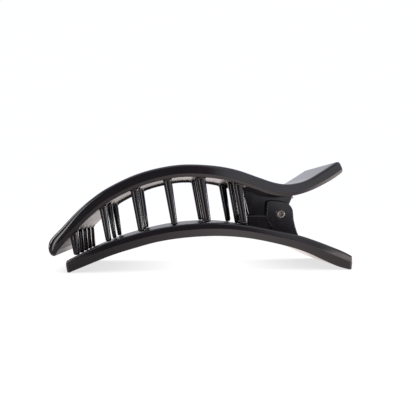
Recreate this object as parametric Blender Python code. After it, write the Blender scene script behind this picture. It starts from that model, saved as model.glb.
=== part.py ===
"""Flat claw hair clip: two arched moulded jaws, a hinge pin and a torsion spring.

The clip lies on the two ends of its lower jaw, closed. +X runs from the tip to
the handles, +Y across the clip, +Z up, and the floor is at z = 0.
"""
import math

import bmesh
import bpy
from mathutils import Matrix, Vector

MM = 0.001

# Jaws
JAW_WIDTH = 40.0 * MM
UPPER_CORNER = (1.8 * MM, 3.5 * MM)
LOWER_CORNER = (2.2 * MM, 3.5 * MM)
SECTION_STEP = 3.4 * MM
PATH_SAMPLES = 30
MERGE_DISTANCE = 0.01 * MM
SHARP_ANGLE = 35

# Pocket under the upper jaw
POCKET_DEPTH = 0.9 * MM
POCKET_WALL = 2.2 * MM
POCKET_START = -36.5 * MM
POCKET_END = 12.5 * MM
POCKET_STEPS = 16
POCKET_PROBE = 0.2 * MM
POCKET_OVERRUN = 2 * POCKET_DEPTH

# Teeth
TEETH_GAP = 0.35 * MM
ROW_LEAN = 9.2
TOOTH_ROOT_WIDTH = 3.0 * MM
TOOTH_TIP_WIDTH = 2.2 * MM
TOOTH_DEPTH = 2.6 * MM
TOOTH_TIP_ROUND = 0.9 * MM
TOOTH_CORNER = 0.35
TOOTH_EMBED = 1.0 * MM
TOOTH_STEP = 0.1 * MM
# Rows of teeth: offset from the middle, share of the width, and the feet, in millimetres
TOOTH_ROWS = [
    (-17.4, 1.0, (-34.5, -22.8, -10.8, 1.4, 15.0)),
    (-1.0, 0.85, (-34.5, -22.8, -10.8, 1.4, 14.8)),
    (17.4, 1.0, (-34.5, -22.8, -10.8, 1.1, 13.4)),
]
# Share of the width of each tooth in a row, wider towards the hinge
TOOTH_SHARES = (0.86, 0.93, 1.0, 1.06, 1.12)
# Rings of the rounded tip: share of its height, and of the width there
TIP_RINGS = [(0.0, 0.45), (0.18, 0.72), (0.5, 0.93), (1.0, 1.0)]
COMB_X = -46.0 * MM
COMB_OFFSET = 17.2 * MM
COMB_TEETH = 5
COMB_LEAN = 7.0

# Hinge
PIN_X = 29.8 * MM
PIN_Z = 20.8 * MM
PIN_RADIUS = 1.2 * MM
PIN_HOLE_RADIUS = 1.5 * MM
PIN_OVERHANG = 0.25 * MM
EAR_THICKNESS = 2.4 * MM
EAR_GAP = 0.3 * MM
UPPER_EAR_OUTER = 10.3 * MM
LOWER_EAR_OUTER = UPPER_EAR_OUTER + EAR_GAP + EAR_THICKNESS
UPPER_BOSS_RADIUS = 3.4 * MM
LUG_RADIUS = 5.08 * MM
HOLE_REACH = 1.0 * MM
ROD_SIDES = 24

# Spring
SPRING_WIRE = 0.45 * MM
SPRING_RADIUS = 2.4 * MM
SPRING_HALF_LENGTH = 6.8 * MM
SPRING_TURNS = 9
SPRING_LEG_X = 36.3 * MM
SPRING_SEAT = 0.35 * MM
SPRING_UPPER_SEATS = 1.25
SPRING_LOWER_SEATS = 1.15
SPRING_TURN_STEPS = 10

# Each row is one section, in millimetres: the ends of its top and bottom edge
UPPER_SECTIONS = [
    # x_top, z_top, x_bottom, z_bottom
    (-55.0, 5.9, -53.6, 5.7),
    (-55.8, 9.3, -52.3, 7.9),
    (-54.85, 12.2, -50.7, 9.9),
    (-51.35, 15.95, -48.0, 12.9),
    (-45.9, 21.8, -42.8, 18.3),
    (-40.3, 26.7, -37.5, 23.0),
    (-34.6, 30.6, -32.3, 26.5),
    (-26.1, 34.8, -24.4, 30.4),
    (-17.6, 37.5, -16.6, 32.9),
    (-8.0, 39.0, -7.7, 34.4),
    (2.7, 38.75, 2.4, 34.1),
    (11.5, 37.3, 10.4, 32.7),
    (20.3, 34.4, 18.8, 30.0),
    (25.0, 32.85, 24.0, 28.2),
    (29.3, 32.05, 29.2, 27.4),
    (33.5, 32.25, 34.5, 28.0),
    (38.4, 33.7, 40.6, 30.0),
    (44.4, 37.2, 47.6, 33.6),
    (50.9, 41.4, 52.8, 37.2),
]
LOWER_SECTIONS = [
    # x_top, z_top, x_bottom, z_bottom
    (-50.1, 3.95, -49.6, -0.41),
    (-43.0, 7.5, -41.2, 3.05),
    (-34.6, 10.9, -33.2, 6.2),
    (-26.1, 13.5, -25.1, 8.7),
    (-18.0, 15.5, -17.2, 10.8),
    (-9.0, 17.0, -8.6, 12.15),
    (0.5, 17.7, 0.5, 12.8),
    (8.5, 17.6, 8.3, 12.75),
    (17.4, 16.5, 16.6, 11.95),
    (26.3, 14.8, 25.2, 10.3),
    (35.3, 12.95, 33.6, 8.15),
    (41.4, 11.0, 39.4, 6.05),
    (46.9, 8.95, 44.9, 3.5),
    (52.3, 6.75, 50.6, 1.1),
    (56.4, 4.55, 56.3, -0.318),
]

# One side of a section, from its top edge down: inset from the jaw's side in
# millimetres, and share of the thickness from the top
UPPER_SIDE = [(1.5, 0.0), (0.6, 0.04), (0.2, 0.16), (0.0, 0.74), (0.5, 1.0)]
LOWER_SIDE = [(0.9, 0.0), (0.35, 0.08), (0.0, 0.45), (0.3, 0.85), (0.9, 1.0)]

# Side view of the ears, in millimetres; each round is a centre, radius, two angles and steps
EAR_FRONT = [(14.4, 33.6), (15.0, 32.4), (15.6, 31.0)]
EAR_FRONT_ROUND = ((18.9, 21.1), 0.9, 192, 268, 4)
EAR_BACK = [(33.6, 23.4), (34.3, 25.2), (35.2, 27.2), (36.4, 30.0)]
WEB_FRONT = [(17.1, 14.5)]
WEB_ROUND = ((17.6, 19.9), 0.5, 180, 90, 3)
LUG_FRONT = [(24.2, 20.4), (24.3, 21.5)]
LUG_FRONT_ROUND = ((25.6, 25.2), 1.0, 172, 90, 4)
LUG_TOP = [(27.8, 26.15), (29.6, 26.0)]
LUG_BACK = [(35.0, 19.0), (35.6, 16.3), (36.3, 13.9), (37.6, 11.0)]

# Rounds about the pin: two angles and steps
BOSS_ARC = (215, 360, 12)
LUG_ARC = (72, 0, 8)

# How the ends are rounded: length in millimetres and power of the curve
TIP_END = (0.9, 2.2)
TAB_END = (1.4, 2.6)
FOOT_END = (1.3, 2.6)
HANDLE_END = (1.5, 2.6)
END_SHARES = (0.03, 0.15, 0.4, 0.7, 1.0)


def clear_scene():
    for old in list(bpy.data.objects):
        bpy.data.objects.remove(old, do_unlink=True)


def make_collection(name):
    collection = bpy.data.collections.new(name)
    bpy.context.scene.collection.children.link(collection)
    return collection


def make_material(name, colour, roughness, metallic):
    material = bpy.data.materials.new(name)
    material.use_nodes = True
    shader = material.node_tree.nodes["Principled BSDF"]
    shader.inputs["Base Color"].default_value = (*colour, 1.0)
    shader.inputs["Roughness"].default_value = roughness
    shader.inputs["Metallic"].default_value = metallic
    return material


def add_object(name, mesh, collection, material=None):
    obj = bpy.data.objects.new(name, mesh)
    collection.objects.link(obj)
    if material:
        mesh.materials.append(material)
    return obj


def as_cutter(obj):
    obj.hide_render = True
    obj.display_type = "WIRE"
    return obj


def add_boolean(obj, other, operation):
    modifier = obj.modifiers.new(f"{operation.lower()}_{other.name}", "BOOLEAN")
    modifier.object = other
    modifier.operation = operation
    modifier.solver = "EXACT"


def catmull_rom(rows, u):
    """The smooth curve through the rows, at u rows from the first."""
    last = len(rows) - 1
    i = min(int(u), last - 1)
    t = u - i
    a = rows[i - 1] if i > 0 else [2 * p - q for p, q in zip(rows[0], rows[1])]
    b = rows[i]
    c = rows[i + 1]
    d = rows[i + 2] if i + 2 <= last else [2 * p - q for p, q in zip(rows[last], rows[last - 1])]
    return [
        0.5 * (2 * q + (r - p) * t + (2 * p - 5 * q + 4 * r - s) * t**2 + (3 * q - p - 3 * r + s) * t**3)
        for p, q, r, s in zip(a, b, c, d)
    ]


class JawPath:
    """The line through the middle of a jaw's sections, measured along its length."""

    def __init__(self, rows):
        self.rows = [[value * MM for value in row] for row in rows]
        steps = PATH_SAMPLES * (len(rows) - 1)
        self.samples = [catmull_rom(self.rows, k / PATH_SAMPLES) for k in range(steps + 1)]
        self.lengths = [0.0]
        for before, after in zip(self.samples, self.samples[1:]):
            self.lengths.append(self.lengths[-1] + (self.middle(after) - self.middle(before)).length)
        self.length = self.lengths[-1]

    @staticmethod
    def middle(row):
        return Vector((0.5 * (row[0] + row[2]), 0.0, 0.5 * (row[1] + row[3])))

    def section(self, s):
        """The top and bottom point of the section at length s."""
        s = min(max(s, 0.0), self.length)
        k = 0
        while k < len(self.lengths) - 2 and self.lengths[k + 1] < s:
            k += 1
        t = (s - self.lengths[k]) / (self.lengths[k + 1] - self.lengths[k])
        row = [p + (q - p) * t for p, q in zip(self.samples[k], self.samples[k + 1])]
        return Vector((row[0], 0.0, row[1])), Vector((row[2], 0.0, row[3]))

    def at_x(self, x, column):
        """The height of the top (column 0) or bottom (column 2) edge at x."""
        for before, after in zip(self.samples, self.samples[1:]):
            if before[column] <= x <= after[column]:
                t = (x - before[column]) / (after[column] - before[column])
                return before[column + 1] + t * (after[column + 1] - before[column + 1])
        raise ValueError(f"x = {x} is past the jaw")


def end_share(distance, end):
    """How much of the full thickness is left at a distance from a rounded end."""
    length, power = end[0] * MM, end[1]
    if distance >= length:
        return 1.0
    return (1.0 - (1.0 - distance / length) ** power) ** (1.0 / power)


def plan_half_width(distance, corner):
    """Half the jaw's width at a distance from its end, with rounded corners."""
    along, across = corner
    if distance >= along:
        return 0.5 * JAW_WIDTH
    return 0.5 * JAW_WIDTH - across + across * math.sqrt(1.0 - (1.0 - distance / along) ** 2)


def section_places(length, start_end, finish_end, corner):
    """Places along a jaw: close together where its ends are rounded, even between."""
    start = [share * start_end[0] * MM for share in END_SHARES] + [corner[0]]
    finish = [share * finish_end[0] * MM for share in END_SHARES] + [corner[0]]
    inner = length - start[-1] - finish[-1]
    count = round(inner / SECTION_STEP)
    even = [start[-1] + inner * k / count for k in range(1, count)]
    return start + even + [length - place for place in reversed(finish)]


def loft(rings, name):
    """A closed mesh through rings of equally many points."""
    bm = bmesh.new()
    loops = [[bm.verts.new(point) for point in ring] for ring in rings]
    for near, far in zip(loops, loops[1:]):
        for k in range(len(near)):
            after = (k + 1) % len(near)
            bm.faces.new((near[k], near[after], far[after], far[k]))
    bm.faces.new(loops[0])
    bm.faces.new(reversed(loops[-1]))
    bmesh.ops.recalc_face_normals(bm, faces=bm.faces)
    mesh = bpy.data.meshes.new(name)
    bm.to_mesh(mesh)
    bm.free()
    return mesh


def jaw_ring(path, s, side, start_end, finish_end, corner):
    """One section of a jaw, as a ring of points around it."""
    top, bottom = path.section(s)
    start, finish = s, path.length - s
    share = min(end_share(start, start_end), end_share(finish, finish_end))
    half = plan_half_width(min(start, finish), corner)
    ring = []
    for sign, points in ((-1, side), (1, list(reversed(side)))):
        for inset, down in points:
            at = top.lerp(bottom, 0.5 + (down - 0.5) * share)
            ring.append(Vector((at.x, sign * (half - inset * MM), at.z)))
    return ring


def make_jaw(path, side, start_end, finish_end, corner, name):
    places = section_places(path.length, start_end, finish_end, corner)
    rings = [jaw_ring(path, s, side, start_end, finish_end, corner) for s in places]
    return loft(rings, name)


def make_pocket(path):
    """The shallow pocket under the upper jaw, as the body that cuts it."""
    half = 0.5 * JAW_WIDTH - POCKET_WALL
    rings = []
    for k in range(POCKET_STEPS + 1):
        x = POCKET_START + (POCKET_END - POCKET_START) * k / POCKET_STEPS
        z = path.at_x(x, 2)
        climb = path.at_x(x + POCKET_PROBE, 2) - path.at_x(x - POCKET_PROBE, 2)
        slope = math.atan2(climb, 2 * POCKET_PROBE)
        rise = Vector((-math.sin(slope), 0.0, math.cos(slope)))
        edge = Vector((x, 0.0, z))
        inside = edge + rise * POCKET_DEPTH
        outside = edge - rise * POCKET_OVERRUN
        rings.append([
            Vector((outside.x, -half, outside.z)),
            Vector((outside.x, half, outside.z)),
            Vector((inside.x, half, inside.z)),
            Vector((inside.x, -half, inside.z)),
        ])
    return loft(rings, "pocket")


def rounded_rectangle(width, depth, radius, arc=3):
    """Points around a rectangle with round corners, seen along its axis."""
    points = []
    for corner in range(4):
        angle = corner * 0.5 * math.pi
        cx = (0.5 * width - radius) * (1 if corner in (0, 3) else -1)
        cy = (0.5 * depth - radius) * (1 if corner in (0, 1) else -1)
        for k in range(arc):
            a = angle + 0.5 * math.pi * k / (arc - 1)
            points.append((cx + radius * math.cos(a), cy + radius * math.sin(a)))
    return points


def tooth_rings(foot, lean, length, wide):
    """A tapered tooth from its rounded foot up to its root, leaning back."""
    up = Vector((-math.sin(lean), 0.0, math.cos(lean)))
    across = Vector((math.cos(lean), 0.0, math.sin(lean)))
    rings = []
    for height, share in TIP_RINGS:
        rings.append((height * TOOTH_TIP_ROUND, share * wide * TOOTH_TIP_WIDTH, 0.5 * (1 + share) * TOOTH_DEPTH))
    rings.append((length, wide * TOOTH_ROOT_WIDTH, TOOTH_DEPTH))
    loops = []
    for height, width, depth in rings:
        radius = TOOTH_CORNER * min(width, depth)
        centre = foot + up * height
        loops.append([
            centre + across * u + Vector((0.0, v, 0.0))
            for u, v in rounded_rectangle(width, depth, radius)
        ])
    return loops


def add_tooth(bm, upper, lower, x, y, lean, wide):
    """One tooth, from just above the lower jaw up into the upper jaw."""
    foot = Vector((x, y, lower.at_x(x, 0) + TEETH_GAP))
    up = Vector((-math.sin(lean), 0.0, math.cos(lean)))
    root_depth = POCKET_DEPTH + TOOTH_EMBED
    length = 0.0
    while True:
        at = foot + up * length
        if at.z > upper.at_x(at.x, 2) + root_depth:
            break
        length += TOOTH_STEP
    mesh = loft(tooth_rings(foot, lean, length, wide), "tooth")
    bm.from_mesh(mesh)
    bpy.data.meshes.remove(mesh)


def make_teeth(upper, lower):
    """All teeth in one mesh: the three rows and the front comb."""
    bm = bmesh.new()
    for y, share, feet in TOOTH_ROWS:
        for x, wide in zip(feet, TOOTH_SHARES):
            add_tooth(bm, upper, lower, x * MM, y * MM, math.radians(ROW_LEAN), share * wide)
    for k in range(COMB_TEETH):
        y = COMB_OFFSET * (2 * k / (COMB_TEETH - 1) - 1)
        add_tooth(bm, upper, lower, COMB_X, y, math.radians(COMB_LEAN), 1.0)
    mesh = bpy.data.meshes.new("teeth")
    bm.to_mesh(mesh)
    bm.free()
    return mesh


def arc_points(centre, radius, start, finish, count):
    """Points along an arc in the side view, from angle start to finish in degrees."""
    points = []
    for k in range(count + 1):
        a = math.radians(start + (finish - start) * k / count)
        points.append((centre[0] + radius * math.cos(a), centre[1] + radius * math.sin(a)))
    return points


def in_metres(points):
    return [(x * MM, z * MM) for x, z in points]


def upper_ear_outline():
    """Side view of the upper jaw's ear: a broad panel with a boss around the pin."""
    front = in_metres(EAR_FRONT + arc_points(*EAR_FRONT_ROUND))
    boss = arc_points((PIN_X, PIN_Z), UPPER_BOSS_RADIUS, *BOSS_ARC)
    return front + boss + in_metres(EAR_BACK)


def lower_ear_outline():
    """Side view of the lower jaw's ear: a low web in front and a lug round the pin."""
    web = WEB_FRONT + arc_points(*WEB_ROUND)
    lug = LUG_FRONT + arc_points(*LUG_FRONT_ROUND) + LUG_TOP
    top = arc_points((PIN_X, PIN_Z), LUG_RADIUS, *LUG_ARC)
    return in_metres(web + lug) + top + in_metres(LUG_BACK)


def flat_plate(outline, y, thickness, name):
    """An outline in the side view, filled and extruded about y."""
    curve = bpy.data.curves.new(name, "CURVE")
    curve.dimensions = "2D"
    curve.fill_mode = "BOTH"
    curve.extrude = 0.5 * thickness
    spline = curve.splines.new("POLY")
    spline.points.add(len(outline) - 1)
    for point, (x, z) in zip(spline.points, outline):
        point.co = (x, z, 0.0, 1.0)
    spline.use_cyclic_u = True
    obj = bpy.data.objects.new(name, curve)
    bpy.context.scene.collection.objects.link(obj)
    obj.matrix_world = Matrix.Translation((0.0, y, 0.0)) @ Matrix.Rotation(math.radians(90), 4, "X")
    bpy.context.view_layer.update()
    evaluated = obj.evaluated_get(bpy.context.evaluated_depsgraph_get())
    mesh = bpy.data.meshes.new_from_object(evaluated)
    mesh.transform(obj.matrix_world)
    bpy.data.objects.remove(obj)
    bpy.data.curves.remove(curve)
    return mesh


def make_ears(outline, outer, name):
    """A pair of ears, one on each side of the middle, in one mesh."""
    bm = bmesh.new()
    for side in (-1, 1):
        plate = flat_plate(outline, side * (outer - 0.5 * EAR_THICKNESS), EAR_THICKNESS, name)
        bm.from_mesh(plate)
        bpy.data.meshes.remove(plate)
    bmesh.ops.remove_doubles(bm, verts=bm.verts, dist=MERGE_DISTANCE)
    bmesh.ops.recalc_face_normals(bm, faces=bm.faces)
    mesh = bpy.data.meshes.new(name)
    bm.to_mesh(mesh)
    bm.free()
    return mesh


def make_rod(radius, half_length, name):
    """A rod along the hinge axis."""
    bm = bmesh.new()
    bmesh.ops.create_cone(
        bm, cap_ends=True, segments=ROD_SIDES, radius1=radius, radius2=radius, depth=2 * half_length,
        matrix=Matrix.Rotation(math.radians(90), 4, "X"),
    )
    mesh = bpy.data.meshes.new(name)
    bm.to_mesh(mesh)
    bm.free()
    return mesh


def tangent_angle(dx, dz, sign):
    """Angle on the coil at which a line to the point (dx, dz) touches it."""
    reach = math.hypot(dx, dz)
    return math.atan2(dz, dx) + sign * math.acos(SPRING_RADIUS / reach)


def spring_points(upper, lower):
    """The wire's middle line, about the hinge axis: leg, coil and leg."""
    seat = SPRING_WIRE + SPRING_SEAT
    dx = SPRING_LEG_X - PIN_X
    high = upper.at_x(SPRING_LEG_X, 2) - SPRING_UPPER_SEATS * seat - PIN_Z
    low = lower.at_x(SPRING_LEG_X, 0) + SPRING_LOWER_SEATS * seat - PIN_Z
    start = tangent_angle(dx, high, 1)
    finish = tangent_angle(dx, low, -1) + 2 * math.pi * (SPRING_TURNS + 1)
    count = round(SPRING_TURN_STEPS * (finish - start) / (2 * math.pi))
    points = [(dx, -SPRING_HALF_LENGTH, high)]
    for k in range(count + 1):
        share = k / count
        angle = start + (finish - start) * share
        y = SPRING_HALF_LENGTH * (2 * share - 1)
        points.append((SPRING_RADIUS * math.cos(angle), y, SPRING_RADIUS * math.sin(angle)))
    points.append((dx, SPRING_HALF_LENGTH, low))
    return points


def make_spring(upper, lower, collection, material):
    curve = bpy.data.curves.new("torsion_spring", "CURVE")
    curve.dimensions = "3D"
    curve.bevel_depth = SPRING_WIRE
    curve.bevel_resolution = 2
    curve.use_fill_caps = True
    spline = curve.splines.new("POLY")
    points = spring_points(upper, lower)
    spline.points.add(len(points) - 1)
    for point, place in zip(spline.points, points):
        point.co = (*place, 1.0)
    curve.materials.append(material)
    obj = bpy.data.objects.new("torsion_spring", curve)
    obj.location = (PIN_X, 0.0, PIN_Z)
    collection.objects.link(obj)
    return obj


def move_origin(obj, place):
    """Puts an object's origin at a place and leaves its shape where it is."""
    obj.data.transform(Matrix.Translation(-Vector(place)))
    obj.location = place


def main():
    clear_scene()
    parts = make_collection("flat_hair_clip")
    cutters = make_collection("cutters")
    plastic = make_material("black_plastic", (0.012, 0.012, 0.013), 0.12, 0.0)
    steel = make_material("steel", (0.55, 0.55, 0.56), 0.3, 1.0)

    upper = JawPath(UPPER_SECTIONS)
    lower = JawPath(LOWER_SECTIONS)

    upper_mesh = make_jaw(upper, UPPER_SIDE, TIP_END, TAB_END, UPPER_CORNER, "upper_jaw")
    lower_mesh = make_jaw(lower, LOWER_SIDE, FOOT_END, HANDLE_END, LOWER_CORNER, "lower_jaw")
    upper_jaw = add_object("upper_jaw", upper_mesh, parts, plastic)
    lower_jaw = add_object("lower_jaw", lower_mesh, parts, plastic)

    pocket = as_cutter(add_object("pocket", make_pocket(upper), cutters))
    teeth = as_cutter(add_object("teeth", make_teeth(upper, lower), cutters))
    upper_ears = make_ears(upper_ear_outline(), UPPER_EAR_OUTER, "upper_ears")
    upper_ears = as_cutter(add_object("upper_ears", upper_ears, cutters))
    lower_ears = make_ears(lower_ear_outline(), LOWER_EAR_OUTER, "lower_ears")
    lower_ears = as_cutter(add_object("lower_ears", lower_ears, cutters))
    hole = make_rod(PIN_HOLE_RADIUS, LOWER_EAR_OUTER + HOLE_REACH, "pin_hole")
    hole = as_cutter(add_object("pin_hole", hole, cutters))
    hole.location = (PIN_X, 0.0, PIN_Z)

    add_boolean(upper_jaw, pocket, "DIFFERENCE")
    add_boolean(upper_jaw, teeth, "UNION")
    add_boolean(upper_jaw, upper_ears, "UNION")
    add_boolean(upper_jaw, hole, "DIFFERENCE")
    add_boolean(lower_jaw, lower_ears, "UNION")
    add_boolean(lower_jaw, hole, "DIFFERENCE")

    pin_half = LOWER_EAR_OUTER + PIN_OVERHANG
    hinge_pin = add_object("hinge_pin", make_rod(PIN_RADIUS, pin_half, "hinge_pin"), parts, steel)
    hinge_pin.location = (PIN_X, 0.0, PIN_Z)
    make_spring(upper, lower, parts, steel)

    move_origin(upper_jaw, (PIN_X, 0.0, PIN_Z))
    for obj in (upper_jaw, lower_jaw, hinge_pin):
        obj.data.shade_smooth()
        obj.data.set_sharp_from_angle(angle=math.radians(SHARP_ANGLE))


main()
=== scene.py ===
import math

import bmesh
import bpy
from mathutils import Matrix, Vector


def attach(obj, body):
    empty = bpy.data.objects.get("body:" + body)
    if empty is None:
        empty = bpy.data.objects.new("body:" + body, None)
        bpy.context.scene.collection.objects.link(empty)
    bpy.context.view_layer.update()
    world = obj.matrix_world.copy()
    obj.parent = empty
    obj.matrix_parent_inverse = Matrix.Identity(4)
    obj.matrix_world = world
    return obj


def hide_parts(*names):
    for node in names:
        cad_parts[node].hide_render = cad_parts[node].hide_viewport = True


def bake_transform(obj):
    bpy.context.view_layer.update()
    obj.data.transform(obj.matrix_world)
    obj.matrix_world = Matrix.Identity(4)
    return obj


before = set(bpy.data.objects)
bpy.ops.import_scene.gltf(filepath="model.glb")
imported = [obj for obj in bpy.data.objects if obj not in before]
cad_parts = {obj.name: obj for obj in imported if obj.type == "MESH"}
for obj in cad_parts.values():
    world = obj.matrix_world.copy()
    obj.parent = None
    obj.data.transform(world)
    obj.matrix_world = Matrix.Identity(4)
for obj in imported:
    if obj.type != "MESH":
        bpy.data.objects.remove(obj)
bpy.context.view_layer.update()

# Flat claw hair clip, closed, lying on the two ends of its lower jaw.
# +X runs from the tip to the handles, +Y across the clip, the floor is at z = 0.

mm = 0.001

# Sizes of the moulded plates, in millimetres. A section row holds the ends of the
# top and bottom edge: xTop, zTop, xBottom, zBottom
upperPlate = {
    "width": 40.0, "planCorner": (1.8, 3.5), "step": 0.7,   # along and across, where an end rounds
    "startEnd": (0.9, 2.2), "finishEnd": (2.4, 2.2),   # length and power of the rounded ends
    "thickness": 4.4,
    "topEdge": (0.12, 1.3, 0.95),    # inset of the edge, how far it rounds inwards and down
    "tipEdge": (0.12, 1.9, 2.3), "tipEdgeLength": 26.0,
    "parting": 0.74,                 # share down to the parting line
    "tipParting": 0.6, "tipLength": 12.0,
    "bottomInset": 0.5,
    "innerSide": -1,                 # the underside is the matt one
    "pocket": {
        "start": -36.5, "finish": 12.5, "depth": 0.85, "wall": 2.2, "ramp": 0.5,
        "lean": 0.1,                 # of its side walls
        "rim": (0.1, 0.08), "corner": (0.18, 0.2),   # rounding of a side wall's two edges
    },
    "sections": [
        (-55.0, 5.9, -53.6, 5.7), (-55.8, 9.3, -52.3, 7.9), (-54.85, 12.2, -50.7, 9.9),
        (-51.35, 15.95, -48.0, 12.9), (-45.9, 21.8, -42.8, 18.3), (-40.3, 26.7, -37.5, 23.0),
        (-34.6, 30.6, -32.3, 26.5), (-26.1, 34.8, -24.4, 30.4), (-17.6, 37.5, -16.6, 32.9),
        (-8.0, 39.0, -7.7, 34.4), (2.7, 38.75, 2.4, 34.1), (11.5, 37.3, 10.4, 32.7),
        (20.3, 34.4, 18.8, 30.0), (25.0, 32.85, 24.0, 28.2), (29.3, 32.05, 29.2, 27.4),
        (33.5, 32.25, 34.5, 28.0), (38.4, 33.7, 40.6, 30.0), (44.4, 37.2, 47.6, 33.6),
        (50.9, 41.4, 52.8, 37.2),
    ],
}
lowerPlate = {
    "width": 40.0, "planCorner": (2.2, 3.5), "step": 0.7,
    "startEnd": (1.3, 2.6), "finishEnd": (1.5, 2.6),
    "thickness": 4.5,
    "topEdge": (0.06, 0.65, 0.5),
    "tipEdge": (0.06, 1.0, 1.2), "tipEdgeLength": 4.0,
    "parting": 0.45,
    "tipParting": 0.45, "tipLength": 1.0,
    "bottomInset": 0.45,
    "innerSide": 1,
    "pocket": None,
    "sections": [
        (-50.1, 3.95, -49.6, -0.41), (-43.0, 7.5, -41.2, 3.05), (-34.6, 10.9, -33.2, 6.2),
        (-26.1, 13.5, -25.1, 8.7), (-18.0, 15.5, -17.2, 10.8), (-9.0, 17.0, -8.6, 12.15),
        (0.5, 17.7, 0.5, 12.8), (8.5, 17.6, 8.3, 12.75), (17.4, 16.5, 16.6, 11.95),
        (26.3, 14.8, 25.2, 10.3), (35.3, 12.95, 33.6, 8.15), (41.4, 11.0, 39.4, 6.05),
        (46.9, 8.95, 44.9, 3.5), (52.3, 6.75, 50.6, 1.1), (56.4, 4.55, 56.3, -0.318),
    ],
}

# How closely the plates are drawn. Shares are of the stretch that is named
plateDetail = {
    "samplesPerRow": 30,
    "endRows": (0.01, 0.04, 0.1, 0.2, 0.32, 0.48, 0.7, 1.0),   # of a rounded end
    "cornerRows": (0.55, 0.68, 0.8, 0.9, 0.96, 1.0),           # of a plan corner
    "rampRows": (-0.5, -0.25, 0.0, 0.25, 0.5),                 # of the pocket's ramp
    "arcSteps": 6,                       # points round a corner of the section
    "hold": 0.15, "holdMost": 0.3,       # mm to the next point beside a round, and its largest share
    "topFlats": (0.25, 0.5, 0.75), "sideFlats": (0.5,), "lastFlats": (0.35, 0.65, 1.0),
    "partingRound": 0.07, "bottomRound": (0.22, 0.3),
    "least": 0.02, "apart": 0.001,       # mm, so that no two points of a section fall together
    "innerFacing": 0.6,                  # faces that look this much towards the hair are matt
}


def catmullRom(rows, u):
    last = len(rows) - 1
    i = min(int(u), last - 1)
    t = u - i
    a = rows[i - 1] if i > 0 else [2 * p - q for p, q in zip(rows[0], rows[1])]
    b = rows[i]
    c = rows[i + 1]
    d = rows[i + 2] if i + 2 <= last else [2 * p - q for p, q in zip(rows[last], rows[last - 1])]
    return [
        0.5 * (2 * q + (r - p) * t + (2 * p - 5 * q + 4 * r - s) * t**2 + (3 * q - p - 3 * r + s) * t**3)
        for p, q, r, s in zip(a, b, c, d)
    ]


def walkPlate(plate):
    # samples along a plate, each with its length from the start, all in millimetres
    sections, perRow = plate["sections"], plateDetail["samplesPerRow"]
    samples = [catmullRom(sections, k / perRow) for k in range(perRow * (len(sections) - 1) + 1)]
    middles = [Vector((0.5 * (s[0] + s[2]), 0.5 * (s[1] + s[3]))) for s in samples]
    lengths = [0.0]
    for before, after in zip(middles, middles[1:]):
        lengths.append(lengths[-1] + (after - before).length)
    return samples, lengths


def sectionAt(samples, lengths, s):
    k = 0
    while k < len(lengths) - 2 and lengths[k + 1] < s:
        k += 1
    t = (s - lengths[k]) / (lengths[k + 1] - lengths[k])
    row = [p + (q - p) * t for p, q in zip(samples[k], samples[k + 1])]
    return Vector((row[0], 0.0, row[1])), Vector((row[2], 0.0, row[3]))


def edgeHeight(samples, x, column):
    # height of the top (column 0) or bottom (column 2) edge at x
    for before, after in zip(samples, samples[1:]):
        if before[column] <= x <= after[column]:
            t = (x - before[column]) / (after[column] - before[column])
            return before[column + 1] + t * (after[column + 1] - before[column + 1])


def endShare(distance, end):
    length, power = end
    if distance >= length:
        return 1.0
    return (1.0 - (1.0 - distance / length) ** power) ** (1.0 / power)


def halfWidthAt(plate, distance):
    half = 0.5 * plate["width"]
    along, across = plate["planCorner"]
    if distance >= along:
        return half
    return half - across + across * math.sqrt(1.0 - (1.0 - distance / along) ** 2)


def smoothStep(value, low, high):
    t = min(max((value - low) / (high - low), 0.0), 1.0)
    return t * t * (3 - 2 * t)


def roundCorners(corners):
    # a polyline with each corner rounded, and points held close beside every round
    detail = plateDetail
    points = [Vector(corners[0])]
    exits = points[0]
    for k in range(1, len(corners) - 1):
        before, here, after = (Vector(corners[j][:2]) for j in (k - 1, k, k + 1))
        into, out = corners[k][2], corners[k][3]
        enter = here + (before - here).normalized() * into
        leave = here + (after - here).normalized() * out
        close = min(detail["hold"] / (enter - exits).length, detail["holdMost"])
        flats = (close, *detail["sideFlats"], 1 - close) if k > 1 else (*detail["topFlats"], 1 - close)
        points += [exits.lerp(enter, share) for share in flats]
        for j in range(detail["arcSteps"] + 1):
            t = j / detail["arcSteps"]
            points.append(enter.lerp(here, t).lerp(here.lerp(leave, t), t))
        exits = leave
    last = Vector(corners[-1])
    close = min(detail["hold"] / (last - exits).length, detail["holdMost"])
    return points + [exits.lerp(last, share) for share in (close, *detail["lastFlats"])]


def plateProfile(plate, parting, edge, pocketShare):
    # half a section from the middle of the top, round the side, to the middle of the bottom,
    # as (distance from the side, depth from the top)
    half, thick, pocket = 0.5 * plate["width"], plate["thickness"], plate["pocket"]
    inset, inwards, down = edge
    partingRound = plateDetail["partingRound"]
    corners = [
        (half, 0.0),
        (inset, 0.0, inwards, down),
        (0.0, parting * thick, partingRound, partingRound),
        (plate["bottomInset"], thick, *plateDetail["bottomRound"]),
    ]
    if pocket:
        least = plateDetail["least"]
        foot = thick - pocket["depth"] * pocketShare - plateDetail["apart"]
        rim = (pocket["rim"][0], least + pocket["rim"][1] * pocketShare)
        corner = (least + pocket["corner"][0] * pocketShare, pocket["corner"][1])
        corners += [
            (pocket["wall"], thick, *rim),
            (pocket["wall"] + pocket["lean"], foot, *corner),
            (half, foot),
        ]
    else:
        corners.append((half, thick))
    return roundCorners(corners)


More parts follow.
